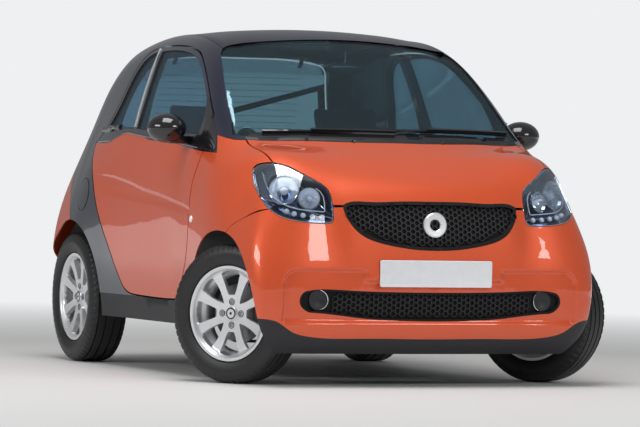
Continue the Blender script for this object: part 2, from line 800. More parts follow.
SEAL = [(-0.004, -0.002), (-0.004, 0.0006), (-0.001, 0.0020), (0.004, 0.0016),
        (0.0065, -0.001), (0.0065, -0.003)]
FRIT = [(-0.034, 0.0003), (-0.034, 0.0007), (0.0, 0.0007), (0.0, 0.0003)]
THIN_RIM = [(-0.0018, -0.001), (-0.0018, 0.0007), (0.0012, 0.0010), (0.0022, -0.001)]
HATCH_LOOP, HATCH_STEEP = 1.0, 0.3


def swept(name, loops, section):
    return joined(name, [sweep_mesh("rim", loop, section) for loop in loops])


for side in ("left", "right"):
    loops = outer_loops("door_glass_" + side, side_out)
    show("window_seals_" + side, swept("window_seals_" + side, loops, SEAL), RUBBER,
         "door_" + side)
    print("door window loops", side, len(loops))
screen = outer_loops("windscreen", front_out)
print("windscreen loops", [len(loop) for loop in screen])
show("windscreen_seal", swept("windscreen_seal", screen, SEAL), RUBBER, "chassis")
show("windscreen_border", swept("windscreen_border", screen, FRIT), GLOSS_TRIM, "chassis")
back = outer_loops("hatch_glass", rear_out, HATCH_LOOP, HATCH_STEEP)
print("hatch loops", [len(loop) for loop in back])
show("hatch_border", swept("hatch_border", back, FRIT), GLOSS_TRIM, "hatch")
lamps = outer_loops("headlamp_lenses", front_out)
show("headlamp_rims", swept("headlamp_rims", lamps, THIN_RIM), CHROME, "chassis")
print("lamp loops", [len(loop) for loop in lamps])

# %% [markdown]
# ## Number plate
# The plate is a plain pressed sheet with rounded corners and a raised edge. A
# bevelled box would give the corners but not the edge, so the outline is built
# up in rings, each set in a little more than the last.

# %% Number plate
PLATE_WIDTH, PLATE_HEIGHT, PLATE_THICK, PLATE_CORNER = 0.520, 0.113, 0.003, 0.008
PLATE_PLACE = Vector((1.3425, 0.0, 0.484))
EDGE_RAISED = 0.0008
# How far each ring is set in, and how far it is above the back
PLATE_RINGS = [(0.0, 0.0), (0.0, PLATE_THICK), (-0.002, PLATE_THICK + EDGE_RAISED),
               (-0.005, PLATE_THICK + EDGE_RAISED), (-0.007, PLATE_THICK)]
CORNER_STEPS = 6


def plate_mesh():
    width, height, corner = PLATE_WIDTH, PLATE_HEIGHT, PLATE_CORNER
    outline = []
    for cx, cy, start in ((1, 1, 0), (-1, 1, 90), (-1, -1, 180), (1, -1, 270)):
        for k in range(CORNER_STEPS + 1):
            turn = math.radians(start + 90 / CORNER_STEPS * k)
            outline.append((cx * (width / 2 - corner) + corner * math.cos(turn),
                            cy * (height / 2 - corner) + corner * math.sin(turn)))
    points, count = [], len(outline)
    for inset, lift in PLATE_RINGS:
        for u, v in outline:
            su = (width / 2 + inset) / (width / 2)
            sv = (height / 2 + inset) / (height / 2)
            points.append((lift, u * su, v * sv))
    faces = ring_faces(len(PLATE_RINGS), count)[:-count]
    faces.append(tuple(range(count)))
    faces.append(tuple((len(PLATE_RINGS) - 1) * count + i for i in range(count)))
    mesh = bpy.data.meshes.new("number_plate")
    mesh.from_pydata(points, [], faces)
    return mesh


plate = plate_mesh()
plate.transform(Matrix.Translation(PLATE_PLACE))
tidy(plate)
show("number_plate_front", plate, PLATE_WHITE, "chassis")
print("plate", PLATE_WIDTH, "by", PLATE_HEIGHT, "m")

# %% [markdown]
# ## Grilles
# The grilles are moulded nets of six-sided cells. A picture of cells would look
# flat from the side. One cell is made once and set on every point of a lattice
# with Geometry Nodes, because that keeps the net regular and lets the cell size
# be changed in one place.

# %% One cell, set on many spots
def tree_of(names):
    """Search tree of the CAD faces of several pieces together."""
    points, faces = [], []
    for name in names:
        start = len(points)
        points += [v.co.copy() for v in nodes[name].data.vertices]
        faces += [tuple(start + v for v in p.vertices) for p in nodes[name].data.polygons]
    return BVHTree.FromPolygons(points, faces)


def cell_net(name, spots, material, radius, bar, depth):
    """A net of six-sided cells on the given (point, normal) spots."""
    mesh = bpy.data.meshes.new(name + "_spots")
    mesh.from_pydata([p for p, n in spots], [], [])
    way = mesh.attributes.new("way", "FLOAT_VECTOR", "POINT")
    way.data.foreach_set("vector", [c for p, n in spots for c in n])
    holder = bpy.data.objects.new(name, mesh)
    bpy.context.scene.collection.objects.link(holder)
    group = bpy.data.node_groups.new(name + "_nodes", "GeometryNodeTree")
    group.interface.new_socket("Geometry", in_out="INPUT", socket_type="NodeSocketGeometry")
    ids = {}
    for label, value in (("Cell radius", radius), ("Bar width", bar), ("Depth", depth)):
        socket = group.interface.new_socket(label, in_out="INPUT",
                                            socket_type="NodeSocketFloat")
        socket.default_value = value
        ids[label] = (socket.identifier, value)
    group.interface.new_socket("Geometry", in_out="OUTPUT", socket_type="NodeSocketGeometry")
    new = group.nodes.new
    inside, outside = new("NodeGroupInput"), new("NodeGroupOutput")
    ring = new("GeometryNodeMeshCircle")
    ring.inputs["Vertices"].default_value = 6
    to_curve = new("GeometryNodeMeshToCurve")
    bar_shape = new("GeometryNodeCurvePrimitiveQuadrilateral")
    solid = new("GeometryNodeCurveToMesh")
    instances = new("GeometryNodeInstanceOnPoints")
    direction = new("GeometryNodeInputNamedAttribute")
    direction.data_type = "FLOAT_VECTOR"
    direction.inputs["Name"].default_value = "way"
    turn = new("FunctionNodeAlignRotationToVector")
    turn.axis = "Z"
    realize = new("GeometryNodeRealizeInstances")
    paint = new("GeometryNodeSetMaterial")
    paint.inputs["Material"].default_value = material
    link = group.links.new
    link(inside.outputs["Cell radius"], ring.inputs["Radius"])
    link(inside.outputs["Bar width"], bar_shape.inputs["Width"])
    link(inside.outputs["Depth"], bar_shape.inputs["Height"])
    link(ring.outputs["Mesh"], to_curve.inputs["Mesh"])
    link(to_curve.outputs["Curve"], solid.inputs["Curve"])
    link(bar_shape.outputs["Curve"], solid.inputs["Profile Curve"])
    link(inside.outputs["Geometry"], instances.inputs["Points"])
    link(solid.outputs["Mesh"], instances.inputs["Instance"])
    link(direction.outputs["Attribute"], turn.inputs["Vector"])
    link(turn.outputs["Rotation"], instances.inputs["Rotation"])
    link(instances.outputs["Instances"], realize.inputs["Geometry"])
    link(realize.outputs["Geometry"], paint.inputs["Geometry"])
    link(paint.outputs["Geometry"], outside.inputs["Geometry"])
    modifier = holder.modifiers.new("cells", "NODES")
    modifier.node_group = group
    for identifier, value in ids.values():
        modifier[identifier] = value
    bpy.context.view_layer.update()
    depsgraph = bpy.context.evaluated_depsgraph_get()
    made = bpy.data.meshes.new_from_object(holder.evaluated_get(depsgraph))
    bpy.data.objects.remove(holder)
    made.name = name
    tidy(made)
    return made


# %% [markdown]
# ## Where the cells sit
# The spots form a lattice seen from the front, and a ray carries each one back
# to the plate behind the mouth. A rule for each mouth leaves out the spots whose
# cell would reach past its edge.

# %% Lattice of spots
CELL_RADIUS, CELL_BAR, CELL_DEPTH = 0.0135, 0.0030, 0.008
CELL_STANDS_OUT, FACES_FRONT = 0.55, 0.5
FAR = 2.0
FORWARD, LEFTWARD, UPWARD = Vector((1, 0, 0)), Vector((0, 1, 0)), Vector((0, 0, 1))


def lattice(tree, low, high, half_width, inside):
    """Spots of a six-sided lattice on the set-back plate of a grille."""
    spots = []
    step_up = CELL_RADIUS * math.sqrt(3)
    step_side = CELL_RADIUS * 1.5
    for column in range(int(-half_width / step_side), int(half_width / step_side) + 1):
        y = column * step_side
        for row in range(int((high - low) / step_up) + 1):
            z = low + row * step_up + (step_up / 2 if column % 2 else 0.0)
            if not inside(y, z):
                continue
            place, normal, index, far = tree.ray_cast(Vector((FAR, y, z)), -FORWARD)
            if place is not None and normal.x > FACES_FRONT:
                spots.append((place + FORWARD * (CELL_DEPTH * CELL_STANDS_OUT), normal))
    return spots


# %% [markdown]
# ## The two mouths
# The upper mouth is the lower half of an oval, and the lower one is a long slot
# whose bottom rises a little towards its ends.

# %% Nets of the upper and the lower mouth
UPPER_HALF, UPPER_CELLS_HALF, UPPER_TOP = 0.395, 0.385, 0.775
UPPER_BOTTOM, UPPER_RISE, UPPER_MARGIN = 0.590, 0.155, 0.016
LOWER_HALF, LOWER_CELLS_HALF, LOWER_TOP = 0.6, 0.455, 0.391
LOWER_BOTTOM, LOWER_RISE, LOWER_MARGIN = 0.292, 0.03, 0.014
# From, to and half the width of the field that is tried
UPPER_FIELD, LOWER_FIELD = (0.58, 0.80, 0.42), (0.28, 0.42, 0.50)


def upper_mouth(y, z):
    share = min(abs(y) / UPPER_HALF, 1.0)
    bottom = UPPER_BOTTOM + UPPER_RISE * (1 - math.sqrt(max(1 - share ** 2, 0.0)))
    return abs(y) < UPPER_CELLS_HALF and bottom + UPPER_MARGIN < z < UPPER_TOP


def lower_mouth(y, z):
    bottom = LOWER_BOTTOM + LOWER_RISE * (abs(y) / LOWER_HALF) ** 2
    return abs(y) < LOWER_CELLS_HALF and bottom + LOWER_MARGIN < z < LOWER_TOP


def show_net(name, spots):
    net = cell_net(name, spots, NET_BLACK, CELL_RADIUS, CELL_BAR, CELL_DEPTH)
    show(name, net, NET_BLACK, "chassis")
    print(name, len(spots), "cells")


show_net("honeycomb_upper", lattice(tree_of(["grille_upper"]), *UPPER_FIELD, upper_mouth))
spots = lattice(tree_of(["grille_lower"]), *LOWER_FIELD, lower_mouth)
show_net("honeycomb_lower", [(p + FORWARD * pocket(p), n) for p, n in spots])

# %% [markdown]
# ## Places read off the photograph
# Small trim has no size of its own in the CAD model. Its place could be guessed
# in metres and moved until it looks right. Here it is read off the photograph in
# pixels and sent along the camera's line of sight until it meets the bodywork,
# which puts it where the camera sees it.

# %% From a pixel to a place on the car
PIXELS_WIDE, PIXELS_HIGH = 640, 427
FOCAL = LENS / SENSOR_WIDTH * PIXELS_WIDE


def sight(px, py):
    """Unit direction from the camera through a pixel of the photograph."""
    turn = camera.matrix_world.to_3x3()
    ray = Vector(((px - PIXELS_WIDE / 2) / FOCAL, (PIXELS_HIGH / 2 - py) / FOCAL, -1.0))
    return (turn @ ray).normalized()


def seen_at(px, py, tree):
    """Place and normal of the surface that a pixel shows."""
    place, normal, index, far = tree.ray_cast(EYE, sight(px, py))
    if place is None:
        raise ValueError("no surface at pixel %s %s" % (px, py))
    return place, normal if normal.dot(sight(px, py)) < 0 else -normal


OUTSIDE = tree_of(["bonnet", "front_wings", "front_bumper", "door_panel_right",
                   "door_shell_right", "safety_cell", "scuttle_panel", "windscreen",
                   "roof_panel", "rear_bumper", "sills", "door_glass_right",
                   "headlamp_lenses"])
print("focal length in pixels", round(FOCAL))

# %% [markdown]
# ## Turned parts and mirrored pairs
# Bulbs, bolts, caps and jets are round, so one helper turns an outline about a
# line, as a lathe does. Stacked cylinders would give the steps but not the
# rounded edges. A pair is built once, on the right, and mirrored to the left.

# %% Lathe and mirror
LATHE_WELD, LATHE_STEPS = 0.00001, 32


def lathe(name, outline, place, way, steps=LATHE_STEPS):
    """Turned body: outline of (radius, height), about a line from place along way."""
    way = way.normalized()
    u = way.orthogonal().normalized()
    v = way.cross(u)
    points = []
    for k in range(steps):
        turn = 2 * math.pi * k / steps
        spoke = u * math.cos(turn) + v * math.sin(turn)
        points += [place + spoke * r + way * h for r, h in outline]
    mesh = bpy.data.meshes.new(name)
    mesh.from_pydata(points, [], ring_faces(steps, len(outline)))
    work = bmesh.new()
    work.from_mesh(mesh)
    bmesh.ops.remove_doubles(work, verts=work.verts, dist=LATHE_WELD)
    bmesh.ops.dissolve_degenerate(work, edges=work.edges, dist=LATHE_WELD)
    work.to_mesh(mesh)
    work.free()
    tidy(mesh)
    return mesh


def mirrored(mesh):
    """The same mesh on the other side of the car."""
    copy = mesh.copy()
    copy.transform(Matrix.Diagonal((1, -1, 1, 1)))
    copy.flip_normals()
    return copy


def show_pair(name, mesh, material):
    """One piece on the body, from a mesh on the right and its mirror image."""
    show(name, joined(name, [mesh, mirrored(mesh)]), material, "chassis")


def show_on_doors(name, mesh, material):
    """A piece on the right door and its mirror image on the left one."""
    other = mirrored(mesh)
    show(name + "_right", mesh, material, "door_right")
    show(name + "_left", other, material, "door_left")


# %% [markdown]
# ## Headlamps
# Behind the clear lens lie two polished bowls in a dark surround. A bowl is
# close to a parabola, because that shape sends the light out straight. It could
# be cut from a sphere, but then the highlight would sit in the wrong place.

# %% Bowls and bulbs
SURROUND = finish("lamp_surround", (0.05, 0.07, 0.13), 0.15, 0.9, 0.3, (60.0, 0.2))
LAMP_WAY = Vector((0.90, -0.38, 0.20)).normalized()
LENS_FACES = tree_of(["headlamp_lenses"])
# Pixel, radius and depth of each bowl, then the same of its bulb
BOWLS = [((283.5, 190.5), 0.060, 0.034), ((309.0, 198.5), 0.044, 0.026)]
BULBS = [((284.0, 190.5), 0.017, 0.030), ((309.5, 198.5), 0.011, 0.026)]
BOWL_WALL, BOWL_LIP, BOWL_RUN, BOWL_STEPS = 0.003, 0.002, 0.001, 8
BOWL_BACK_SHARES = (0.6, 0.75)
BULB_SET_BACK, BULB_FOOT = 0.012, -0.01
# Share of the bulb's radius, and height, from its edge to its tip
BULB_SHARES = [(1.0, 0.004), (0.8, 0.010), (0.4, 0.014), (0.0, 0.015)]


def behind(px, py, depth):
    """Place at a depth behind the lens, on the line of sight through a pixel."""
    return seen_at(px, py, LENS_FACES)[0] + sight(px, py) * depth


def bowl(radius, deep):
    """Outline of a bowl whose inner wall is a parabola."""
    rim = radius + BOWL_WALL
    outline = [(rim, -BOWL_LIP), (rim, BOWL_LIP), (radius, BOWL_LIP)]
    for k in range(1, BOWL_STEPS + 1):
        share = 1 - k / BOWL_STEPS
        outline.append((radius * share + BOWL_RUN, -deep * (1 - share ** 2)))
    back_radius, back_depth = BOWL_BACK_SHARES
    outline += [(0.0, -deep), (0.0, -deep - BOWL_WALL),
                (radius * back_radius, -deep * back_depth)]
    return outline


def bulb(radius):
    outline = [(0.0, BULB_FOOT), (radius, BULB_FOOT)]
    return outline + [(radius * share, height) for share, height in BULB_SHARES]


bowls = [lathe("bowl", bowl(radius, deep), behind(*pixel, deep), LAMP_WAY)
         for pixel, radius, deep in BOWLS]
show_pair("lamp_bowls", joined("lamp_bowls", bowls), CHROME)
bulbs = [lathe("bulb", bulb(radius), behind(*pixel, depth) - LAMP_WAY * BULB_SET_BACK,
               LAMP_WAY) for pixel, radius, depth in BULBS]
show_pair("lamp_bulbs", joined("lamp_bulbs", bulbs), GLOW)
dressed["headlamp_housings"].data.materials[0] = SURROUND
print("bowls", len(bowls), "bulbs", len(bulbs), "a side")

# %% [markdown]
# ## Light guide and small lamps
# A thin bright rod follows the edge of the lamp, and a row of small lamps sits
# below it. The rod is a round section swept along points read off the
# photograph, so its bends are where the real one has them.

# %% Guide and row of lamps
GUIDE_PIXELS = [(262.5, 172.5), (264.5, 181.0), (267.5, 188.0), (272.5, 195.5), (279.5, 202.0),
                (288.0, 206.5), (298.0, 209.3), (311.0, 210.8), (324.5, 212.0), (324.6, 204.0),
                (323.2, 196.5), (320.0, 191.5), (315.8, 188.5)]
GUIDE_RADIUS, GUIDE_DEPTH, GUIDE_PITCH, GUIDE_SIDES = 0.0022, 0.012, 0.008, 8
ROW_PIXELS = [(286.5, 211.5), (294.0, 214.0), (303.0, 215.6), (312.5, 216.8), (322.0, 217.4)]
ROW_DEPTH, ROW_STEPS = 0.014, 20
ROW_LAMP = [(0.0, -0.004), (0.011, -0.004), (0.012, 0.002), (0.009, 0.007), (0.0, 0.009)]

turns = [math.radians(360 / GUIDE_SIDES * k) for k in range(GUIDE_SIDES)]
rod = [(GUIDE_RADIUS * math.cos(turn), GUIDE_RADIUS * math.sin(turn)) for turn in turns]
guide = [(behind(*pixel, GUIDE_DEPTH), -sight(*pixel)) for pixel in GUIDE_PIXELS]
guide = even_spaced(guide, GUIDE_PITCH, False)
show_pair("lamp_guides", sweep_mesh("guide", guide, rod, False), GLOW)
row = [lathe("row_lamp", ROW_LAMP, behind(*pixel, ROW_DEPTH), -sight(*pixel), ROW_STEPS)
       for pixel in ROW_PIXELS]
show_pair("lamp_row", joined("lamp_row", row), GLOW)
print("guide points", len(guide), "row lamps", len(row))

# %% [markdown]
# ## Belt strip
# A black strip seals the gap under the side windows and ends at the door
# handle. It follows the body by rays, because a straight strip would sink into
# the curved door in the middle.

# %% Belt strip
# The side trim was read off a crop of the photograph, enlarged CROP_SCALE times
CROP_LEFT, CROP_TOP, CROP_SCALE = 70, 30, 7.47
TRIM_PITCH = 0.012
BELT_CROP = [(215, 828), (300, 822), (350, 795), (395, 768), (440, 760), (545, 785),
             (700, 812), (850, 848), (960, 872)]
STRIP = [(-0.006, -0.003), (-0.006, 0.0022), (-0.002, 0.0042), (0.004, 0.0040),
         (0.007, 0.0016), (0.007, -0.003)]


def crop(u, v):
    """Pixel of the photograph under a point of the enlarged crop."""
    return CROP_LEFT + u / CROP_SCALE, CROP_TOP + v / CROP_SCALE


def on_body(pixels, lift=0.0):
    """Evenly spaced path on the bodywork through the given pixels."""
    path = []
    for px, py in pixels:
        place, normal = seen_at(px, py, OUTSIDE)
        path.append((place + normal * lift, normal))
    return even_spaced(path, TRIM_PITCH, False)


belt = on_body([crop(u, v) for u, v in BELT_CROP])
show_on_doors("belt_strip", sweep_mesh("strip", belt, STRIP, False), GLOSS_TRIM)
print("belt strip points", len(belt))

# %% [markdown]
# ## Mirror cover and fuel flap
# Both are thin lids that lie on a curved side. Each is drawn flat as an outline
# of (x, z), cut into a grid, and pushed onto the body by rays. Cutting it out of
# the body would be exact too, but it would leave a hole when the lid is moved.

# %% Thin lids on the side
LID_LIFT, LID_PITCH, LID_SINK = 0.0016, 0.015, 0.003
COVER_LIFT = 0.003
COVER_CROP = [(960, 770), (1005, 650), (1040, 500), (1068, 620), (1094, 760), (1098, 880),
              (1070, 902), (985, 880), (900, 858)]
FLAP_CROP, FLAP_RADIUS, FLAP_STEPS = (98, 1225), 0.072, 24
GAP_RADIUS, GAP_STEPS = 0.075, 40
GAP_SECTION = [(-0.0012, -0.001), (-0.0012, 0.0008), (0.0012, 0.0008), (0.0012, -0.001)]


def side_hit(x, z):
    """Where a ray from the right meets the body, or None."""
    return OUTSIDE.ray_cast(Vector((x, -FAR, z)), LEFTWARD)[0]


def lid(name, outline, lift):
    """A thin lid laid on the side of the body, from an outline of (x, z)."""
    mesh = bpy.data.meshes.new(name)
    mesh.from_pydata([(x, -FAR, z) for x, z in outline], [], [tuple(range(len(outline)))])
    for axis, values in ((0, [x for x, z in outline]), (2, [z for x, z in outline])):
        cut_in_grid(mesh, axis, min(values), max(values), LID_PITCH)
    last = None
    for vertex in mesh.vertices:
        hit = side_hit(vertex.co.x, vertex.co.z)
        if hit is not None:
            last = hit.y
        vertex.co.y = last - lift
    work = bmesh.new()
    work.from_mesh(mesh)
    sides = bmesh.ops.extrude_face_region(work, geom=work.faces[:])
    moved = [v for v in sides["geom"] if isinstance(v, bmesh.types.BMVert)]
    bmesh.ops.translate(work, verts=moved, vec=(0, lift + LID_SINK, 0))
    work.to_mesh(mesh)
    work.free()
    tidy(mesh)
    return mesh


def disc_outline(place, radius, steps):
    turns = [2 * math.pi * k / steps for k in range(steps)]
    return [(place.x + radius * math.cos(turn), place.z + radius * math.sin(turn))
            for turn in turns]


corners = [seen_at(*crop(u, v), OUTSIDE)[0] for u, v in COVER_CROP]
cover = lid("mirror_cover", [(p.x, p.z) for p in corners], COVER_LIFT)
show_pair("mirror_cover", cover, GLOSS_TRIM)
flap = seen_at(*crop(*FLAP_CROP), OUTSIDE)[0]
show("fuel_flap", lid("fuel_flap", disc_outline(flap, FLAP_RADIUS, FLAP_STEPS), LID_LIFT),
     DARK_PAINT, "chassis")
gap = [(side_hit(x, z), -LEFTWARD) for x, z in disc_outline(flap, GAP_RADIUS, GAP_STEPS)]
show("fuel_flap_gap", sweep_mesh("fuel_flap_gap", gap, GAP_SECTION), RUBBER, "chassis")
print("fuel flap at", [round(c, 3) for c in flap])

# %% [markdown]
# ## Handle and repeater
# The handle is a rounded bar at the rear end of the belt strip. The repeater is
# a small round lamp on the wing. Both are placed by a pixel, as the strip is.

# %% Handle and repeater
HANDLE_CROP, HANDLE_PITCH = [(262, 742), (300, 738), (345, 735), (385, 728)], 0.01
GRIP = [(-0.014, -0.002), (-0.014, 0.006), (-0.008, 0.013), (0.008, 0.013), (0.014, 0.006),
        (0.014, -0.002)]
REPEATER_CROP, REPEATER_STEPS = (905, 1412), 24
REPEATER = [(0.0, -0.003), (0.015, -0.003), (0.015, 0.002), (0.012, 0.005), (0.0, 0.006)]

handle = [seen_at(*crop(u, v), OUTSIDE) for u, v in HANDLE_CROP]
handle = even_spaced(handle, HANDLE_PITCH, False)
show_on_doors("door_handle", sweep_mesh("handle", handle, GRIP, False), GLOSS_TRIM)
place, normal = seen_at(*crop(*REPEATER_CROP), OUTSIDE)
show_pair("side_repeater", lathe("side_repeater", REPEATER, place, normal, REPEATER_STEPS),
          GLOW)
print("repeater at", [round(c, 3) for c in place])

# %% [markdown]
# ## Tyres
# A tyre's tread is cut by the mould in two ways: grooves that run round it, and
# short slots across its shoulder. The round grooves are part of the outline that
# is turned, and the slots are left by setting every fifth step of the shoulder
# back. Blocks set on by hand would look the same, but take far more faces.

# %% Tyres
BEAD_GAP, BEAD_RADII = 0.0004, (0.1919, 0.2038)
# Share of half the width, with the radius of the wall
WALL = [(0.90, 0.2100), (0.955, 0.2230), (0.985, 0.2370), (1.0, 0.2480), (0.994, 0.2580),
        (0.972, 0.2660)]
# Share of half the width, with the share of the tyre's radius
SHOULDER_SHARES = [(0.945, 0.915), (0.90, 0.955), (0.84, 0.975), (0.72, 0.990)]
GROOVE_SHARES, CROWN_SHARE = (0.62, 0.22), 0.012
GROOVE_DEPTH, GROOVE_HALF, GROOVE_FLOOR_SHARE = 0.006, 0.004, 0.7
SLOT_DEPTH, SLOT_EVERY, SLOT_SHARES, SLOT_RADIUS_SHARE = 0.0045, 5, (0.70, 0.97), 0.90
TREAD_STEPS, TREAD_ANGLE = 288, 35.0


def tyre_outline(width, radius, rim_width):
    """Outline of (distance from the middle, radius), from one bead to the other."""
    half = width / 2
    outline = [(rim_width / 2 - BEAD_GAP, bead) for bead in BEAD_RADII]
    outline += [(half * across, height) for across, height in WALL]
    outline += [(half * across, radius * height) for across, height in SHOULDER_SHARES]
    for share in GROOVE_SHARES:
        middle, top = half * share, radius * (1 - CROWN_SHARE * share ** 2)
        floor_half = GROOVE_HALF * GROOVE_FLOOR_SHARE
        outline += [(middle + GROOVE_HALF, top), (middle + floor_half, top - GROOVE_DEPTH),
                    (middle - floor_half, top - GROOVE_DEPTH), (middle - GROOVE_HALF, top)]
    return outline + [(-across, height) for across, height in outline[::-1]]


def tyre_mesh(name, width, radius, rim_width, centre, way):
    half = width / 2
    slot_from, slot_to = [half * share for share in SLOT_SHARES]
    outline = tyre_outline(width, radius, rim_width)
    beside = way.cross(UPWARD).normalized()
    points = []
    for k in range(TREAD_STEPS):
        turn = 2 * math.pi * k / TREAD_STEPS
        spoke = UPWARD * math.cos(turn) + beside * math.sin(turn)
        for across, height in outline:
            shoulder = slot_from < abs(across) < slot_to
            shoulder = shoulder and height > radius * SLOT_RADIUS_SHARE
            slot = SLOT_DEPTH if shoulder and k % SLOT_EVERY == 0 else 0.0
            points.append(centre + way * across + spoke * (height - slot))
    mesh = bpy.data.meshes.new(name)
    mesh.from_pydata(points, [], ring_faces(TREAD_STEPS, len(outline)))
    tidy(mesh, TREAD_ANGLE)
    return mesh


STEERED = math.radians(31.5)
STEERED_WAY = Vector((-math.sin(STEERED), math.cos(STEERED), 0))
# Width, radius and width of the rim
FRONT_SIZE, REAR_SIZE = (0.165, 0.2978, 0.127), (0.185, 0.3015, 0.140)
# Centre, direction of the axle, and size
WHEELS = {"front_left": (Vector((0.8640, 0.7279, 0.2978)), STEERED_WAY, FRONT_SIZE),
          "front_right": (Vector((0.9110, -0.7279, 0.2978)), -STEERED_WAY, FRONT_SIZE),
          "rear_left": (Vector((-0.9855, 0.715, 0.3015)), LEFTWARD, REAR_SIZE),
          "rear_right": (Vector((-0.9855, -0.715, 0.3015)), -LEFTWARD, REAR_SIZE)}
for corner, (centre, way, size) in WHEELS.items():
    bpy.data.objects.remove(dressed["tyre_" + corner])
    show("tyre_tread_" + corner, tyre_mesh("tyre_" + corner, *size, centre, way), TYRE,
         "wheel_" + corner, ["tyre_" + corner])
print("tyres", len(WHEELS), "with", TREAD_STEPS // SLOT_EVERY + 1, "slots a side")

# %% [markdown]
# ## Wheel bolts and caps
# Four bolts hold each wheel. Their heads sit deep in dark cups, and a plain cap
# closes the middle. They are turned about the axle's direction, so they follow
# the steered wheels without being moved.

# %% Bolts and caps
HUB_FACE_SHARE, BOLT_CIRCLE = 0.66, 0.050
BOLT_CUP = [(0.0115, 0.004), (0.0135, 0.0055), (0.0150, 0.0040), (0.0150, 0.001),
            (0.0115, 0.001)]
BOLT_HEAD = [(0.0, -0.014), (0.0078, -0.014), (0.0078, 0.000), (0.0060, 0.0015), (0.0, 0.0015)]
CAP = [(0.0, 0.001), (0.029, 0.001), (0.029, 0.006), (0.026, 0.009), (0.0, 0.0105)]
CAP_RING = [(0.0195, 0.008), (0.0195, 0.0108), (0.0245, 0.0104), (0.0262, 0.008)]
CAP_DOT = [(0.0, 0.009), (0.0065, 0.009), (0.0060, 0.0118), (0.0, 0.012)]
CUP_STEPS, HEAD_SIDES, CAP_STEPS, DOT_STEPS = 24, 6, 40, 20

for corner, (centre, way, size) in WHEELS.items():
    body = "wheel_" + corner
    hub = centre + way * (size[2] / 2 * HUB_FACE_SHARE)
    across = way.cross(UPWARD).normalized()
    spots = [hub + spoke * BOLT_CIRCLE for spoke in (across, -across, UPWARD, -UPWARD)]
    cups = [lathe("cup", BOLT_CUP, spot, way, CUP_STEPS) for spot in spots]
    heads = [lathe("head", BOLT_HEAD, spot, way, HEAD_SIDES) for spot in spots]
    show("bolt_cups_" + corner, joined("cups", cups), GLOSS_TRIM, body)
    show("bolt_heads_" + corner, joined("heads", heads), STEEL, body)
    show("cap_" + corner, lathe("cap", CAP, hub, way, CAP_STEPS), SILVER, body)
    marks = [lathe("ring", CAP_RING, hub, way, CAP_STEPS),
             lathe("dot", CAP_DOT, hub, way, DOT_STEPS)]
    show("cap_ring_" + corner, joined("marks", marks), GLOSS_TRIM, body)
print("bolts", len(WHEELS) * len(spots))

# %% [markdown]
# ## Silver ring and fog lamp rims
# A plain silver ring stands in the middle of the upper grille, and a thin
# bright rim lies round each fog lamp. Both are turned. The fog lamps sit in the
# pocket of the bumper, so their rims are set back by the same rule.

# %% Silver ring and fog lamp rims
RING_HEIGHT, RING_LIFT, RING_WAY, RING_STEPS = 0.690, 0.006, Vector((1, 0, 0.08)), 48
PLAIN_RING = [(0.024, 0.0), (0.024, 0.010), (0.028, 0.014), (0.048, 0.015), (0.053, 0.011),
              (0.053, 0.0)]
FOG_ACROSS, FOG_HEIGHT, FOG_STEPS = 0.520, 0.370, 40
FOG_FORWARD, FOG_OUTWARD = 0.97, 0.24
FOG_RIM = [(0.0405, 0.0), (0.0405, 0.004), (0.0425, 0.0052), (0.0440, 0.004), (0.0440, 0.0)]

spot = tree_of(["grille_upper"]).ray_cast(Vector((FAR, 0.0, RING_HEIGHT)), -FORWARD)[0]
show("plain_ring", lathe("plain_ring", PLAIN_RING, spot + FORWARD * RING_LIFT, RING_WAY,
                         RING_STEPS), SILVER, "chassis")
fog_tree = tree_of(["fog_lamps"])
rims = []
for side in (-1, 1):
    fog = fog_tree.ray_cast(Vector((FAR, side * FOG_ACROSS, FOG_HEIGHT)), -FORWARD)[0]
    rims.append(lathe("fog_rim", FOG_RIM, fog + FORWARD * pocket(fog),
                      Vector((FOG_FORWARD, side * FOG_OUTWARD, 0)), FOG_STEPS))
show("fog_rims", joined("fog_rims", rims), CHROME, "chassis")
print("ring at", [round(c, 3) for c in spot])

# %% [markdown]
# ## Wipers
# A wiper is a rubber blade with a thin arm above it. Both are swept along a path
# that is laid on the glass by pixels, because a straight blade would leave the
# curved windscreen at its ends.

# %% Wipers
GLASS_FRONT = tree_of(["windscreen", "scuttle_panel"])
WIPER_PIXELS = {
    "wiper_one": [(395, 135.0), (360, 134.0), (320, 133.0), (285, 132.5), (262, 132.5)],
    "wiper_two": [(505, 136.5), (470, 134.5), (435, 133.2), (400, 132.5), (376, 132.5)]}
BLADE = [(-0.004, -0.008), (-0.006, 0.003), (0.0, 0.006), (0.006, 0.003), (0.004, -0.008)]
ARM = [(-0.005, -0.003), (-0.005, 0.003), (0.005, 0.003), (0.005, -0.003)]
BLADE_LIFT, ARM_LIFT, WIPER_PITCH = 0.010, 0.010, 0.015


def wiper(name, pixels):
    path = []
    for px, py in pixels:
        place, normal = seen_at(px, py, GLASS_FRONT)
        path.append((place + normal * BLADE_LIFT, normal))
    path = even_spaced(path, WIPER_PITCH, False)
    arm = [(place + normal * ARM_LIFT, normal) for place, normal in path[:len(path) * 2 // 3]]
    parts = [sweep_mesh("blade", path, BLADE, False), sweep_mesh("arm", arm, ARM, False)]
    show(name, joined(name, parts), GLOSS_TRIM, "chassis")


for name, pixels in WIPER_PIXELS.items():
    wiper(name, pixels)
print("wipers", len(WIPER_PIXELS))

# %% [markdown]
# ## Seats
# A car seat is foam under a sewn cover. The cover pulls the foam in along its
# seams and lets it swell between them. It could be sculpted, but the swelling
# comes out more evenly from cloth. So the CAD block is shrunk a little and blown
# up again as cloth with air pressure inside. Both seats are alike, so one is
# made and the other mirrored.

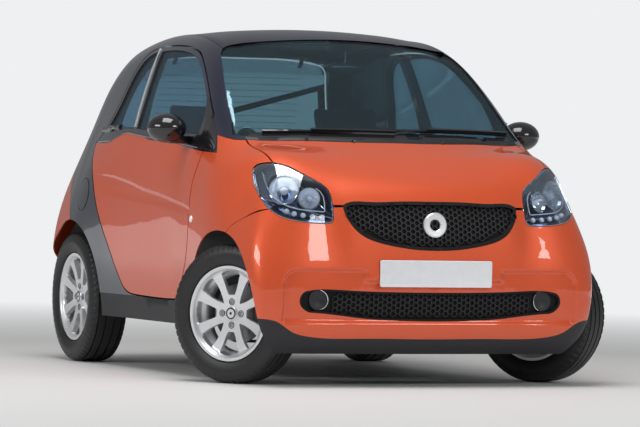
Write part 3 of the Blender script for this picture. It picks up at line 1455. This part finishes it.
# %% Blow up one seat
SEAT_MIDDLE, SEAT_HALF, SEAT_FLOOR, FLOOR_GAP = -0.360, 0.240, 0.372, 0.0005
SEAT_VOXEL, SEAT_WELD_ANGLE, SEAT_ROUNDING, ROUNDING_PASSES = 0.009, 30.0, 0.5, 12
SEAT_SHRINK, SEAT_SWELL = 0.010, 0.016
SEAT_PRESSURE, CLOTH_FRAMES = 4.0, 20


def evaluated_copy(obj):
    graph = bpy.context.evaluated_depsgraph_get()
    return bpy.data.meshes.new_from_object(obj.evaluated_get(graph), depsgraph=graph)


def seat_form():
    """The CAD seat, remeshed to even squares, rounded at its edges and shrunk."""
    holder = bpy.data.objects.new("seat_holder", weld("seat_right", SEAT_WELD_ANGLE))
    bpy.context.scene.collection.objects.link(holder)
    remesh = holder.modifiers.new("remesh", "REMESH")
    remesh.mode = "VOXEL"
    remesh.voxel_size = SEAT_VOXEL
    soften = holder.modifiers.new("soften", "SMOOTH")
    soften.factor = SEAT_ROUNDING
    soften.iterations = ROUNDING_PASSES
    mesh = evaluated_copy(holder)
    bpy.data.objects.remove(holder)
    normals = [v.normal.copy() for v in mesh.vertices]
    for vertex, normal in zip(mesh.vertices, normals):
        vertex.co -= normal * SEAT_SHRINK
    return mesh


def blown(mesh):
    """Cloth with air pressure inside; no point moves further than SEAT_SWELL."""
    start = [v.co.copy() for v in mesh.vertices]
    holder = bpy.data.objects.new("seat_holder", mesh)
    bpy.context.scene.collection.objects.link(holder)
    cloth = holder.modifiers.new("cloth", "CLOTH")
    cloth.settings.use_pressure = True
    cloth.settings.uniform_pressure_force = SEAT_PRESSURE
    cloth.settings.effector_weights.gravity = 0.0
    for number in range(1, CLOTH_FRAMES + 1):
        bpy.context.scene.frame_set(number)
    result = evaluated_copy(holder)
    bpy.data.objects.remove(holder)
    bpy.context.scene.frame_set(1)
    for vertex, old in zip(result.vertices, start):
        move = vertex.co - old
        if move.length > SEAT_SWELL:
            vertex.co = old + move.normalized() * SEAT_SWELL
    return result


seat = seat_form()
seat = blown(seat)
print("seat faces", len(seat.polygons))

# %% [markdown]
# ## Seams of the seats
# The remesh would have lost any seam drawn before it, so the seams come last.
# A long seam parts the side rolls from the middle, cross channels hold the
# middle down, and a narrow neck carries the head rest.

# %% Draw in the seams
SEAM_PLACE, SEAM_DEPTH, SEAM_HALF = 0.150, 0.007, 0.012
ROLL_HEIGHT, ROLL_FULL = 0.010, 0.185
DISH_DEPTH, DISH_INNER = 0.010, 0.05
CHANNEL_DEPTH, CHANNEL_HALF = 0.005, 0.009
BACK_CHANNELS, CUSHION_CHANNELS, CUSHION_TOP = (0.62, 0.72, 0.82, 0.92), (-0.16, -0.06, 0.05), 0.62
ROLLS_TOP, NECK_HEIGHT, NECK_DEPTH, NECK_HALF = 0.98, 1.02, 0.006, 0.020
HEAD_FROM, HEAD_FULL, HEAD_TAPER_SHARE = 0.94, 1.12, 0.34


def groove(distance, half):
    """One at the seam, nought at half the groove's width and beyond."""
    return 1.0 - smoothstep(0.0, half, abs(distance))


def channels(point, normal):
    """How strongly the cross channels pull at a point of the middle."""
    pulls = [groove(point.z - height, CHANNEL_HALF) * max(normal.x, 0.0)
             for height in BACK_CHANNELS]
    if point.z < CUSHION_TOP:
        pulls += [groove(point.x - forward, CHANNEL_HALF) * max(normal.z, 0.0)
                  for forward in CUSHION_CHANNELS]
    return max(pulls)


def sewn(mesh):
    """Seams, side rolls, cross channels and neck."""
    normals = [v.normal.copy() for v in mesh.vertices]
    for vertex, normal in zip(mesh.vertices, normals):
        point = vertex.co.copy()
        side = abs(point.y - SEAT_MIDDLE)
        front = max(normal.x, normal.z, 0.0) * smoothstep(NECK_HEIGHT, ROLLS_TOP, point.z)
        lift = ROLL_HEIGHT * smoothstep(SEAM_PLACE, ROLL_FULL, side) * front
        lift -= SEAM_DEPTH * groove(side - SEAM_PLACE, SEAM_HALF) * front
        lift -= DISH_DEPTH * (1.0 - smoothstep(DISH_INNER, SEAM_PLACE, side)) * front
        if side < SEAM_PLACE:
            lift -= CHANNEL_DEPTH * channels(point, normal)
        lift -= NECK_DEPTH * groove(point.z - NECK_HEIGHT, NECK_HALF)
        vertex.co += normal * lift
        taper = 1.0 - HEAD_TAPER_SHARE * smoothstep(HEAD_FROM, HEAD_FULL, point.z)
        across = (vertex.co.y - SEAT_MIDDLE) * taper
        vertex.co.y = SEAT_MIDDLE + min(max(across, -SEAT_HALF), SEAT_HALF)
        vertex.co.z = max(vertex.co.z, SEAT_FLOOR + FLOOR_GAP)


sewn(seat)
for side, mesh in (("right", seat), ("left", mirrored(seat))):
    bpy.data.objects.remove(dressed["seat_" + side])
    mesh.polygons.foreach_set("use_smooth", [True] * len(mesh.polygons))
    piece = show("seat_padded_" + side, mesh, FABRIC, "chassis", ["seat_" + side])
    finer = piece.modifiers.new("finer", "SUBSURF")
    finer.levels = finer.render_levels = 1
print("seats padded")

# %% [markdown]
# ## Dashboard
# Two round air vents with silver rings, a cowl over the instruments and a round
# pod on a stalk stand on the dashboard. All are turned and dropped onto the CAD
# dashboard by a ray from above, so they stand on it whatever its height.

# %% Vents, cowl and pod
DASH_FACES = tree_of(["dashboard"])
DOME_X, DOME_FOOT, DOME_SHARE, DOME_STEP = 0.56, -0.02, 0.62, 15
# Distance from the middle and radius of the two vents and the cowl
VENTS, COWL = [(0.150, 0.052), (0.330, 0.052)], (-0.330, 0.090)
VENT_RING = [(0.040, -0.004), (0.040, 0.003), (0.044, 0.005), (0.047, 0.0), (0.046, -0.004)]
VENT_WAY, VENT_SHIFT = Vector((-0.55, 0, 0.83)), Vector((-0.012, 0, 0.006))
VENT_RISE = 0.020
POD_PLACE, POD_HEIGHT, POD_WAY, POD_STEPS = (0.52, -0.545), 0.062, Vector((-0.93, 0.30, 0.2)), 36
POD = [(0.0, -0.022), (0.036, -0.020), (0.043, -0.008), (0.044, 0.010), (0.040, 0.014),
       (0.037, 0.010), (0.0, 0.008)]
POD_RIM = [(0.0445, 0.008), (0.0465, 0.011), (0.0445, 0.014), (0.041, 0.0145), (0.041, 0.012)]
STALK, STALK_STEPS = [(0.0, -0.002), (0.013, -0.002), (0.010, 0.045), (0.0, 0.045)], 20


def dash_top(x, y):
    return DASH_FACES.ray_cast(Vector((x, y, FAR)), -UPWARD)[0]


def dome(radius):
    """A flat dome with a straight foot that sinks into the dashboard."""
    outline = [(0.0, DOME_FOOT), (radius, DOME_FOOT), (radius, 0.0)]
    turns = [math.radians(angle) for angle in range(DOME_STEP, 90, DOME_STEP)]
    outline += [(radius * math.cos(turn), radius * DOME_SHARE * math.sin(turn))
                for turn in turns]
    return outline + [(0.0, radius * DOME_SHARE)]


domes = [lathe("dome", dome(radius), dash_top(DOME_X, y), UPWARD)
         for y, radius in VENTS + [COWL]]
show("dash_domes", joined("domes", domes), DASH, "chassis")
rings = [lathe("vent", VENT_RING, dash_top(DOME_X, y) + UPWARD * VENT_RISE + VENT_SHIFT, VENT_WAY)
         for y, radius in VENTS]
pod_foot = dash_top(*POD_PLACE)
pod_middle = pod_foot + UPWARD * POD_HEIGHT
pod = [lathe("pod", POD, pod_middle, POD_WAY, POD_STEPS),
       lathe("stalk", STALK, pod_foot, UPWARD, STALK_STEPS)]
show("dash_pod", joined("pod", pod), GLOSS_TRIM, "chassis")
rings.append(lathe("pod_rim", POD_RIM, pod_middle, POD_WAY, POD_STEPS))
show("vent_rings", joined("vents", rings), SILVER, "chassis")
print("domes", len(domes), "rings", len(rings))

# %% [markdown]
# ## Heated lines and rear plate
# Thin lines printed on the rear window heat it. A bump would not show on glass,
# so each line is a very thin strip swept along the inner face. The rear plate is
# the front one again, leaned as far as the tailgate leans under it.

# %% Heated lines
HATCH_FACES = tree_of(["hatch_glass"])
LINE_COUNT, LINE_LOWEST, LINE_RISE = 9, 1.110, 0.030
LINE_STEPS, LINE_HALF, LINE_STEP, LINE_LIFT, LINE_FEWEST = 31, 0.36, 0.024, 0.0004, 6
LINE_SECTION = [(-0.0009, -0.0003), (-0.0009, 0.0005), (0.0009, 0.0005), (0.0009, -0.0003)]

lines = []
for number in range(LINE_COUNT):
    height = LINE_LOWEST + LINE_RISE * number
    places = [Vector((0.0, -LINE_HALF + LINE_STEP * k, height)) for k in range(LINE_STEPS)]
    hits = [HATCH_FACES.ray_cast(place, -FORWARD)[0] for place in places]
    path = [(hit + FORWARD * LINE_LIFT, FORWARD) for hit in hits if hit is not None]
    if len(path) > LINE_FEWEST:
        lines.append(sweep_mesh("line", path, LINE_SECTION, False))
show("heated_lines", joined("heated_lines", lines), RUBBER, nodes["hatch_glass"]["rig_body"])
print("heated lines", len(lines))

# %% Rear plate
TAILGATE_FACES = tree_of(["tailgate"])
REAR_PLATE_TOP, REAR_PLATE_BOTTOM, REAR_PLATE_SINK = 0.84, 0.74, 0.0015

upper, lower = [TAILGATE_FACES.ray_cast(Vector((-FAR, 0.0, z)), FORWARD)[0]
                for z in (REAR_PLATE_TOP, REAR_PLATE_BOTTOM)]
lean = math.atan2(upper.x - lower.x, upper.z - lower.z)
plate = plate_mesh()
plate.transform(Matrix.Translation((upper + lower) / 2 - FORWARD * REAR_PLATE_SINK)
                @ Matrix.Rotation(lean, 4, "Y") @ Matrix.Rotation(math.pi, 4, "Z"))
tidy(plate)
show("number_plate_rear", plate, PLATE_WHITE, nodes["tailgate"]["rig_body"])
print("rear plate leans", round(math.degrees(lean), 1), "degrees")

# %% [markdown]
# ## Washer jets and post strip
# Three small jets stand in front of the windscreen, and a bright strip runs up
# the post between the door window and the one behind it. They are placed by
# pixels, as the side trim is.

# %% Jets and post strip
JET_PIXELS, JET_STEPS = [(306.5, 139.5), (353.5, 142.0), (443.0, 143.0)], 16
JET = [(0.0, -0.003), (0.009, -0.003), (0.008, 0.006), (0.005, 0.010), (0.0, 0.011)]
POST_PIXELS = [(161.0, 49.0), (153.0, 69.0), (145.5, 92.0), (139.5, 112.0), (135.5, 127.0)]
POST_LIFT = 0.002
POST_STRIP = [(-0.006, -0.002), (-0.006, 0.0025), (0.006, 0.0025), (0.006, -0.002)]

jets = [lathe("jet", JET, *seen_at(px, py, OUTSIDE), JET_STEPS) for px, py in JET_PIXELS]
show("washer_jets", joined("jets", jets), GLOSS_TRIM, "chassis")
post = on_body(POST_PIXELS, POST_LIFT)
show_on_doors("post_strip", sweep_mesh("post", post, POST_STRIP, False), SILVER)
print("jets", len(jets), "post strip points", len(post))
